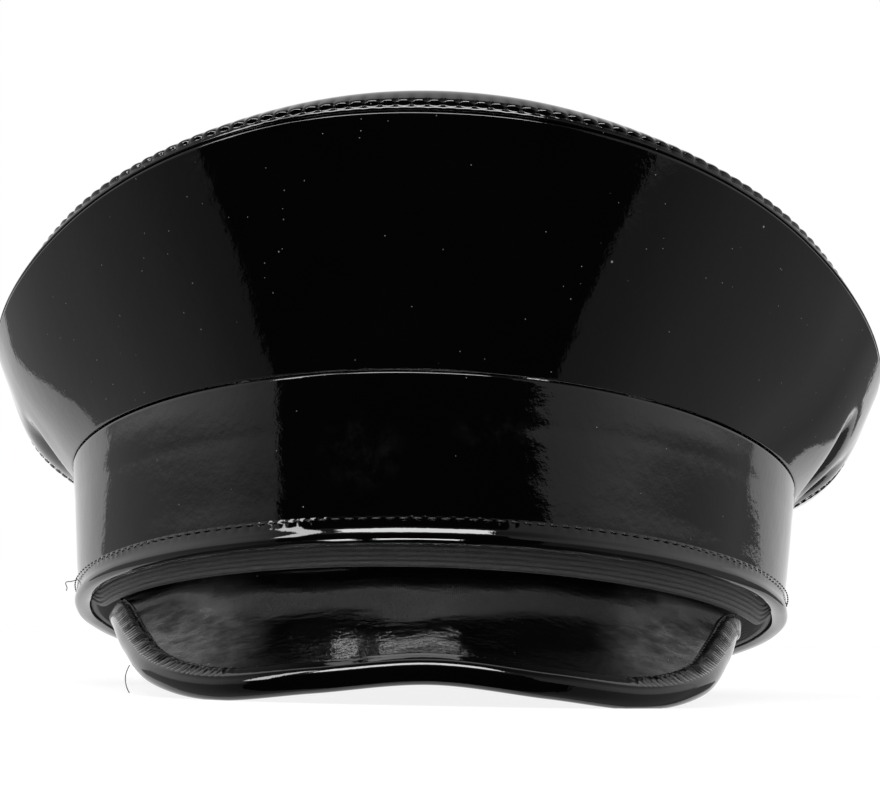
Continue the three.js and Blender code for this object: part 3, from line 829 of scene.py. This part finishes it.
def build_crown_panel(name, node, start, end, columns, wave_length, material):
    """A crown panel from one side seam to the other, its edges rolled in at the seams."""
    phi = np.radians(np.linspace(start, end, columns + 1))[:, None]
    face = crown_point(phi, crowded(46, 0.06))
    normal = around(face, closed=False)
    up, along = lengths_across(face), lengths_along(face)
    to_edge = np.minimum(up, up[:, -1:] - up)
    to_side = np.minimum(along, along[-1:] - along)
    inward = seam_roll(to_edge) + seam_roll(to_side)
    soft = smoothstep(CROWN_WAVE["soft_from"], CROWN_WAVE["soft_to"], from_front(phi))
    wave = (mix(CROWN_WAVE["stiff"], CROWN_WAVE["soft"], soft) * ripple(face, wave_length, 11)
            * smoothstep(0, CROWN_WAVE["fade"], to_edge))
    outer = face + normal * (wave - inward)[..., None]
    inner = face - normal * CROWN["thickness"]
    middle = along[:, up.shape[1] // 2][:, None]
    shell(name, outer, inner, stacked(middle, up), material, node)


def top_rows(phi, distances):
    """Face of the top panel at these distances from its edge seam, and the distances."""
    samples = np.linspace(0, 1, 161)[None, :]
    run = lengths_across(top_point(phi[:, None], samples))
    wanted = distances(run[:, -1])
    inward = np.stack([np.interp(w, r, samples[0]) for w, r in zip(wanted, run)])
    return top_point(phi[:, None], inward), wanted


def top_strip(phi, row):
    """Face of the top panel along a row of distances, the same all round."""
    return top_rows(phi, lambda last: np.broadcast_to(row, (len(last), len(row))))


def top_ring(count):
    """Angles at even steps along the top panel's stitches, and the length of their row."""
    row = [STITCHES["top"]["in_from_edge"]]
    return even_angles(lambda phi: top_strip(phi, row)[0][:, 0], count)


def scalloped_edge(phi, arc, pitch, strip):
    """Outer face of the top panel beside its edge seam, pinched by the stitches."""
    face, distance = top_strip(phi, strip)
    stitch_row = STITCHES["top"]["in_from_edge"]
    puff = pucker(arc, pitch)
    calm = smoothstep(TOP_EDGE["calm_from"], TOP_EDGE["calm_to"], from_front(phi))[:, None]
    pillow = TOP_EDGE["pillow"] * np.sin(np.pi * np.clip(distance / stitch_row, 0, 1))
    from_row = (distance - stitch_row) / TOP_EDGE["hole_reach"]
    hole = TOP_EDGE["hole"] * np.exp(-from_row ** 2) * (1 - 0.7 * puff)
    after = np.clip(distance - stitch_row, 0, None) / TOP_EDGE["swell_reach"]
    pinched = 1 - TOP_EDGE["pinch"] + TOP_EDGE["pinch"] * puff
    swell = TOP_EDGE["swell"] * (1 - TOP_EDGE["calm"] * calm) * after * np.exp(1 - after) * pinched
    rise = pillow - hole + swell - seam_roll(distance, TOP_EDGE["roll"])
    return face + around(face) * rise[..., None], distance


def build_top_panel(material):
    """The top panel: puckered along its stitched edge, then a gently uneven dome."""
    size = STITCHES["top"]
    columns, ratio = size["count"] * size["columns"], 4
    phi, length = top_ring(columns)
    arc = (np.arange(columns) * length / columns)[:, None]
    width = TOP_EDGE["width"]
    strip = np.concatenate([[0, 0.0001, 0.0003, 0.0006], np.linspace(0.0009, width, 22)])
    edge, distance = scalloped_edge(phi, arc, length / size["count"], strip)

    def dome_distances(last):
        share = np.linspace(0, 1, 41)[None, 1:] ** 1.2
        return width + (last[:, None] - width) * share

    def waves(points, grown):
        points[..., 2] += TOP_WAVE["height"] * ripple(points, TOP_WAVE["length"], 5) * grown
        points[:, -1] = points[:, -1].mean(0)

    coarse = phi[::ratio]
    dome, dome_distance = top_rows(coarse, dome_distances)
    waves(dome, smoothstep(width, 0.03, dome_distance))
    inner_rows = np.linspace(0, 1, 31)[None, :] ** 1.1
    inside = top_point(coarse[:, None], inner_rows)
    down = around(inside)
    down[:, 0] = stacked(np.sin(coarse), -np.cos(coarse), 0.0)
    down[:, -1] = np.array([0, 0, 1])
    inside = inside - down * TOP["thickness"]
    waves(inside, smoothstep(0.2, 0.5, inner_rows))

    piece = Piece()
    uv_span = 0.12
    a = piece.add(place(edge), stacked(arc, distance))
    b = piece.add(place(dome[:, :-1]), stacked(arc[::ratio], dome_distance[:, :-1]))
    c = piece.add(place(inside[:, :-1]), stacked(arc[::ratio], inner_rows[:, :-1] * uv_span))
    pole_uv = np.array([[0.0, uv_span]])
    pole_out, pole_in = (piece.add(place(grid[:1, -1]), pole_uv)[0] for grid in (dome, inside))
    piece.quads(a, True, wrap=length)
    piece.ladder(a[:, -1], b[:, 0], length)
    piece.quads(b, True, wrap=length)
    piece.quads(c, True, turned=True, wrap=length)
    piece.ladder(a[:, 0], c[:, 0], length, turned=True)
    for k in range(len(coarse)):
        n = (k + 1) % len(coarse)
        piece.polygon((b[k, -1], b[n, -1], pole_out))
        piece.polygon((c[n, -1], c[k, -1], pole_in))
    hand_over(piece.make("crown_top", material), "top_panel")


def build_band(material):
    """The plain strip round the head, with a faint crease."""
    phi = round_head(480)
    z = mix(BAND["bottom"], seam_height(phi), crowded(30, 0.036))
    face = oval_point(phi, z, 0.0)
    to_seam = seam_height(phi) - z
    from_crease = np.abs(z - CREASE["height"] - CREASE["sway"] * np.sin(3 * phi))
    crease = -CREASE["depth"] * np.exp(-from_crease / CREASE["reach"])
    wave = (BAND_WAVE["depth"] * ripple(face, BAND_WAVE["length"], 21) * smoothstep(0, 0.006, to_seam)
            * smoothstep(0.006, 0.012, z))
    outer = face + around(face) * (wave + crease - seam_roll(to_seam))[..., None]
    inner = oval_point(phi, z, -BAND["thickness"])
    shell("cap_band", outer, inner, stacked(phi * 0.1, z), material, "band", ring=True)


def rim_profile():
    """Section of the rim's binding in outward and up: outer face from its top, under, and inner face."""
    slot = BAND["thickness"] + GAP
    wall, height, inner_height = BINDING["wall"], BINDING["height"], BINDING["inner_height"]
    under = [(-slot * 0.5, 0.0), (-slot, 0.0001)]
    inside = [(-slot - 0.8 * wall, 0.0006), (-slot - wall, 0.0016), (-slot - wall, 0.0036),
              (-slot - 0.6 * wall, inner_height), (-slot, inner_height)]
    slot_walls = [(-slot, wall * 1.15), (GAP * 0.3, wall * 1.15), (GAP * 0.3, height - 0.0004)]
    return np.array(list(RIM_FACE) + under + inside + slot_walls)


def rim_ring(count):
    """Angles at even steps along the rim's stitches, and the length and height of their row."""
    stitch_z = BINDING["height"] - STITCHES["rim"]["in_from_edge"]
    return *even_angles(lambda phi: oval_point(phi, np.full_like(phi, stitch_z), 0.0006), count), stitch_z


def profile_uv(arc, profile):
    """UVs of a swept section: along the sweep, and round the section."""
    run = np.concatenate([[0], np.cumsum(np.hypot(*np.diff(profile, axis=0).T))])[None, :]
    return stacked(arc, run)


def build_rim_binding(material):
    """The strip rolled over the band's lower edge, dimpled where it is stitched."""
    size = STITCHES["rim"]
    columns = size["count"] * size["columns"]
    phi, length, stitch_z = rim_ring(columns)
    arc = (np.arange(columns) * length / columns)[:, None]
    puff = pucker(arc, length / size["count"])
    profile = rim_profile()
    outward, up = profile[None, :, 0], profile[None, :, 1]
    near_row = np.exp(-((up - stitch_z) / RIM_PUCKER["reach"]) ** 2) * (outward > 0)
    dent = near_row * RIM_PUCKER["dent"] * (1 - puff)
    rise = RIM_PUCKER["rise"] * puff * near_row
    sections = oval_point(phi[:, None], up + rise, outward - dent)
    wave = RIM_WAVE["depth"] * ripple(sections, RIM_WAVE["length"], 31)
    sections = place(sections + unit(sections * np.array([1, 1, 0])) * wave[..., None])
    uv = profile_uv(arc, profile)
    tube("rim_binding", sections, uv, material, "band_binding", ring=True)


def build_ribbon(material):
    """The ribbed elastic inside the rim, which hangs below the binding above the peak."""
    phi = round_head(320)
    hang = -(RIBBON["hang"] + RIBBON["hang_right"] * np.sin(phi))
    lift = smoothstep(RIBBON_TURN["start"], RIBBON_TURN["start"] + RIBBON_TURN["fade"], from_front(phi))
    rows = np.linspace(0, 1, RIBS * RIB["steps"] + 1)[None, :]
    z = mix(mix(hang, RIBBON["back"], lift), RIBBON["top"], rows)
    groove = RIB["depth"] * (1 - np.abs(np.sin(np.pi * rows * RIBS)) ** 0.6)
    outer = oval_point(phi, z, ribbon_face() - groove)
    inner = oval_point(phi, z, ribbon_face() - RIBBON["thickness"] + groove)
    uv = stacked(phi * 0.1, rows * (RIBBON["top"] + RIBBON["hang"]))
    shell("ribbed_ribbon", outer, inner, uv, material, "sweatband", ring=True)


def build_peak(material):
    """The peak's board, its gloss a little crinkled."""
    side = np.linspace(-1, 1, 241)[:, None]
    knee = PEAK["knee"]
    depth = np.concatenate([np.linspace(0, knee, 9)[:-1], np.linspace(knee, 1, 56)])[None, :]
    middle = peak_point(side, depth)
    normal = peak_normal(side, depth)
    half = PEAK["thickness"] / 2
    shown = smoothstep(knee, knee + 0.1, depth) * (1 - smoothstep(0.85, 1.0, depth))
    wave = sum(deep * ripple(middle, length, seed) for deep, length, seed in PEAK_WAVES) * shown
    outer = middle + normal * (half + wave)[..., None]
    inner = middle - normal * half
    uv = stacked(side * 0.12, lengths_across(middle))
    shell("peak_board", outer, inner, uv, material, "peak")


def lip_profile():
    """Section of the peak's binding in outward and up: upper face, nose, underside and slot."""
    half = PEAK["thickness"] / 2
    slot = half + LIP["gap"]
    face = slot + LIP["wall"]
    nose = LIP["gap"] + LIP["wall"]
    back = nose - LIP["width"]
    skim = half + 0.00012
    upper = [(back, skim), (back + 0.0002, half + 0.0006), (back + 0.0007, face - 0.0001),
             (back + 0.0015, face + 0.0003), (back + 0.0024, face + 0.0004), (back + 0.0034, face + 0.0002)]
    round_nose = [(nose - LIP["nose"] + LIP["nose"] * math.cos(t), (face + 0.0001) * math.sin(t))
                  for t in np.radians(np.linspace(78, -90, 13))]
    lower = [(back + 0.002, -face), (back + 0.0007, -face + 0.0001), (back, -slot - 0.0003), (back, -skim)]
    slot_walls = [(-0.001, -skim), (LIP["gap"] * 0.6, -half), (LIP["gap"] * 0.6, half), (-0.001, skim)]
    return np.array(upper + round_nose + lower + slot_walls)


def lip_sides(columns):
    """Places along the peak's edge at even steps of length, and that length."""
    fine = np.linspace(-1, 1, 2001)
    run = lengths_along(peak_edge(fine))
    return np.interp(np.linspace(0, run[-1], columns), run, fine), float(run[-1])


def peak_frame(side):
    """Edge points of the peak with the direction out of the edge."""
    edge = peak_point(side, np.ones_like(side))
    along = unit(peak_edge(side + SMALL) - peak_edge(side - SMALL))
    out = unit(np.cross(along, peak_normal(side, np.ones_like(side))))
    inward = peak_point(side, np.full_like(side, 0.9)) - edge
    flip = np.where(np.sum(out * inward, axis=-1) > 0, -1.0, 1.0)
    return edge, out * flip[:, None]


def lip_points(side, outward, up):
    """Points beside the peak's edge: outward past it and up from the board's middle surface."""
    edge, out = peak_frame(side)
    level = edge[:, None] + out[:, None] * np.minimum(outward, 0)[..., None]
    s, d = nearest_on_peak(level, side[:, None])
    return (peak_point(s, d) + out[:, None] * np.maximum(outward, 0)[..., None]
            + peak_normal(s, d) * up[..., None])


def lip_gathers(side, arc, inward):
    """Rise of the gathers at the corners, by the length along the peak's edge and the way in from it."""
    side = side[:, None]
    grow = smoothstep(GATHERS["from"], GATHERS["from"] + GATHERS["grow"], np.abs(side))
    die = smoothstep(GATHERS["to"] - GATHERS["die"], GATHERS["to"] + GATHERS["die"], np.abs(side))
    corner = grow * (1 - die)
    slanted = arc + GATHERS["slant"] * np.sign(side) * inward
    wander = 0.0004 * np.sin(arc * 2 * np.pi / 0.017) + 0.0003 * np.sin(arc * 2 * np.pi / 0.0071)
    ridge = np.abs(np.sin(np.pi * (slanted + wander) / GATHERS["pitch"])) ** 0.8 - 0.55
    reach = np.sin(np.pi * np.clip(inward / LIP["width"] / GATHERS["reach"], 0, 1)) ** 0.6
    strength = 0.8 + 0.2 * np.sin(arc * 2 * np.pi / 0.0113)
    return GATHERS["depth"] * ridge * reach * corner * strength


def build_lip(material):
    """The strip rolled round the peak's edge, gathered at the corners."""
    size = STITCHES["lip"]
    columns = size["count"] * size["columns"] + 1
    side, length = lip_sides(columns)
    arc = np.linspace(0, length, columns)[:, None]
    profile = lip_profile()
    outward, up = (np.broadcast_to(profile[None, :, k], (columns, len(profile))) for k in range(2))
    inward = outward - profile[0, 0]
    upper = (up > 0) & (inward > -1e-6)
    gather = lip_gathers(side, arc, inward) * upper
    near_row = np.exp(-((inward - size["in_from_edge"]) / LIP_PUCKER["reach"]) ** 2) * upper
    dent = near_row * LIP_PUCKER["dent"] * (1 - pucker(arc, length / (size["count"] - 1)))
    sections = place(lip_points(side, outward, up + gather - dent))
    uv = profile_uv(arc, profile)
    tube("peak_binding_strip", sections, uv, material, "peak_binding")


def sew_top(thread):
    size = STITCHES["top"]
    phi, _ = top_ring(size["count"] * PATH_STEPS)
    row, aside = size["in_from_edge"], 0.0003
    rows, _ = top_strip(phi, np.array([row - aside, row, row + aside]))
    normal = around(rows)[:, 1]
    sew("top_stitches", rows[:, 1] - normal * 0.00022, normal, size, thread, 3, closed=True)


def sew_rim(thread):
    size = STITCHES["rim"]
    phi, _, stitch_z = rim_ring(size["count"] * PATH_STEPS)
    path = oval_point(phi, np.full_like(phi, stitch_z), 0.0009)
    normal = unit(stacked(np.sin(phi), -np.cos(phi), 0.5))
    sew("rim_stitches", path, normal, size, thread, 5, closed=True)


def sew_lip(thread):
    size = STITCHES["lip"]
    side, _ = lip_sides(size["count"] * PATH_STEPS + 1)
    column = np.ones((len(side), 1))
    outward = column * (lip_profile()[0, 0] + size["in_from_edge"])
    up = column * (PEAK["thickness"] / 2 + LIP["gap"] + LIP["wall"] * 0.72)
    path = lip_points(side, outward, up)[:, 0]
    normal = peak_normal(side, np.full_like(side, 0.95))
    sew("peak_binding_stitches", path, normal, size, thread, 6)


def sew_side_seam(name, angle, thread, seed):
    size = STITCHES["side"]
    rows = np.linspace(0.04, 0.96, 80)
    step = math.degrees(size["in_from_edge"] / EDGE["half_width"]) * math.copysign(1, angle)
    phi = np.radians(angle - step * np.array([1.2, 1.0, 0.8]))
    grid = crown_point(phi[:, None], rows[None, :])
    normal = around(grid, closed=False)[1] * math.copysign(1, angle) * -1
    sew(name, grid[1] + normal * 0.00005, normal, size, thread, seed)


def loose_thread(name, points, material):
    """A short thin thread end, a round tube along a smooth curve."""
    steps, sides = TAIL["steps"], TAIL["sides"]
    knots, t = np.linspace(0, 1, len(points)), np.linspace(0, 1, steps)
    path = stacked(*(np.interp(t, knots, values) for values in zip(*points)))
    for _ in range(TAIL["smoothing"]):
        path[1:-1] = (path[:-2] + 2 * path[1:-1] + path[2:]) / 4
    tangent = unit(np.gradient(path, axis=0))
    a = unit(np.cross(tangent, np.array([0.3, 1.0, 0.2])))
    b = np.cross(tangent, a)
    turn = np.linspace(0, 2 * np.pi, sides, endpoint=False)
    ring = np.cos(turn)[None, :, None] * a[:, None] + np.sin(turn)[None, :, None] * b[:, None]
    sections = path[:, None] + ring * TAIL["width"] / 2
    tube(name, sections, np.zeros((steps, sides, 2)), material)


# Studio

def build_floor(material):
    mesh = bpy.data.meshes.new("studio_floor")
    corners = ((-1, -1), (1, -1), (1, 1), (-1, 1))
    mesh.from_pydata([(x * FLOOR_REACH, y * FLOOR_REACH, 0) for x, y in corners], [], [(0, 1, 2, 3)])
    mesh.materials.append(material)
    floor = in_scene("studio_floor", mesh)
    floor.visible_glossy = False


def build_studio():
    """A white surround, and what the gloss mirrors: a dark gap in front, grey cards at the sides and
    white behind, with soft boxes above."""
    world = bpy.data.worlds.new("studio")
    bpy.context.scene.world = world
    world.use_nodes = True
    world.node_tree.nodes.clear()
    n = Nodes(world.node_tree)
    x, y, z = n.add("ShaderNodeSeparateXYZ", None, {0: n.coordinates("Generated")}).outputs
    degrees = 180 / math.pi
    azimuth = n.times(n.math("ARCTAN2", x, n.times(y, -1.0)), degrees)
    elevation = n.times(n.math("ARCSINE", z), degrees)

    def beyond(edge_rows, soft):
        """0 to the left of an edge that leans with elevation and 1 to its right."""
        return n.between(n.minus(azimuth, n.through(elevation, edge_rows)), -soft, soft)

    def less(a):
        return n.minus(1.0, a)

    def box(centre, half, soft):
        across, along = n.minus(azimuth, centre[0]), n.minus(elevation, centre[1])
        return n.times(n.within(across, half[0], soft), n.within(along, half[1], soft))

    soft = EDGE_SOFT
    side = n.times(n.through(azimuth, SIDE_LIGHT), n.through(elevation, SIDE_RISE))
    gap = n.times(beyond(GAP_LEFT, soft["gap"]), less(beyond(GAP_RIGHT, soft["gap"])))
    top = GAP_TOP["elevation"]
    gap = n.times(gap, n.between(elevation, top - GAP_TOP["soft"], top + GAP_TOP["soft"], 1.0, 0.0))
    shown = n.plus(n.times(side, less(gap)), n.times(gap, GAP_LIGHT))
    white = n.math("MAXIMUM", less(beyond(WHITE_LEFT, soft["white"])), beyond(WHITE_RIGHT, soft["white"]))
    shown = n.math("MAXIMUM", shown, white)
    for centre, half, strength in BOXES:
        shown = n.math("MAXIMUM", shown, n.times(box(centre, half, soft["box"]), strength))
    path = n.add("ShaderNodeLightPath")
    second = n.math("GREATER_THAN", path.outputs["Glossy Depth"], 1.5)
    for centre, half, strength in LOW_LIGHTS:
        lit = n.times(n.times(box(centre, half, soft["low"]), second), strength)
        shown = n.math("MAXIMUM", shown, lit)
    mirrored, surround = (n.add("ShaderNodeBackground", None, {"Color": (1, 1, 1, 1), "Strength": strength})
                          for strength in (shown, 1.0))
    blend = n.add("ShaderNodeMixShader", None, {
        0: path.outputs["Is Glossy Ray"], 1: surround.outputs[0], 2: mirrored.outputs[0]})
    n.add("ShaderNodeOutputWorld", None, {"Surface": blend.outputs[0]})


def build_lamp():
    light = bpy.data.lights.new("overhead_soft_light", "AREA")
    light.shape = "SQUARE"
    light.size = LAMP["size"]
    light.energy = LAMP["power"]
    lamp = in_scene("overhead_soft_light", light)
    lamp.location = LAMP["place"]
    aim = Vector(LAMP["aim"]) - Vector(LAMP["place"])
    lamp.rotation_euler = aim.to_track_quat("-Z", "Y").to_euler()
    lamp.visible_camera = False
    lamp.visible_glossy = False


def build_camera():
    data = bpy.data.cameras.new("camera")
    data.sensor_fit = "HORIZONTAL"
    data.sensor_width = CAMERA["sensor"]
    data.lens = CAMERA["focal_px"] / CAMERA["image_px"] * CAMERA["sensor"]
    data.clip_start = 0.01
    camera = in_scene("camera", data)
    pitch, roll = math.radians(CAMERA["pitch"]), CAMERA["roll"]
    forward = Vector((0, math.cos(pitch), math.sin(pitch)))
    right = Vector((1, 0, 0))
    up = right.cross(forward)
    turned_right = math.cos(roll) * right + math.sin(roll) * up
    turned_up = math.cos(roll) * up - math.sin(roll) * right
    rotation = Matrix((turned_right, turned_up, -forward)).transposed().to_4x4()
    camera.matrix_world = Matrix.Translation(CAMERA["place"]) @ rotation
    bpy.context.scene.camera = camera


def build_cap():
    crown = patent_vinyl("crown_patent_vinyl", specks=0.3)
    band = patent_vinyl("band_patent_vinyl", specks=0.1, smudges=(
        ((-0.017, -0.096, 0.054), (0.013, 0.02, 0.011)),
        ((0.013, -0.096, 0.059), (0.012, 0.02, 0.005)),
    ))
    binding = patent_vinyl("binding_patent_vinyl", specks=0.02, peel=0.7)
    # Painted reflection: grey patches on the peak's sides stand in for the white surround that they mirror.
    peak = patent_vinyl("peak_patent_vinyl", specks=0.08, peel=1.4, painted_reflection=(
        ((-0.062, -0.108, 0.014), (0.030, 0.055, 0.030), 0.85),
        ((0.060, -0.104, 0.012), (0.028, 0.055, 0.028), 0.7),
    ), scratches=(
        ((-0.058, -0.115, 0.012), (0.016, 0.02, 0.012), (0.0, 0.7, 0.0)),
        ((0.058, -0.112, 0.012), (0.012, 0.02, 0.010), (0.0, -0.8, 0.0)),
    ))
    elastic = ribbed_elastic("ribbed_elastic")
    black_thread = sewing_thread("black_thread", (0.02, 0.02, 0.022))
    grey_thread = sewing_thread("grey_thread", (0.3, 0.3, 0.31))

    seam, gap = CROWN["side_seam"], math.degrees(GAP / EDGE["half_width"])
    build_crown_panel("crown_front", "front_panel", -seam, seam, 380, 0.05, crown)
    build_crown_panel("crown_back", "back_panel", seam + gap, 360 - seam - gap, 320, 0.035, crown)
    build_top_panel(crown)
    build_band(band)
    build_rim_binding(binding)
    build_ribbon(elastic)
    build_peak(peak)
    build_lip(binding)
    sew_top(black_thread)
    sew_rim(black_thread)
    sew_lip(black_thread)
    for name, points in THREAD_TAILS.items():
        loose_thread(name, points, black_thread)
    sew_side_seam("left_side_stitches", -seam, grey_thread, 7)
    sew_side_seam("right_side_stitches", seam, black_thread, 8)


build_cap()
build_floor(floor_paper("pale_paper"))
build_studio()
build_lamp()
build_camera()
bpy.context.scene.view_settings.view_transform = "Standard"
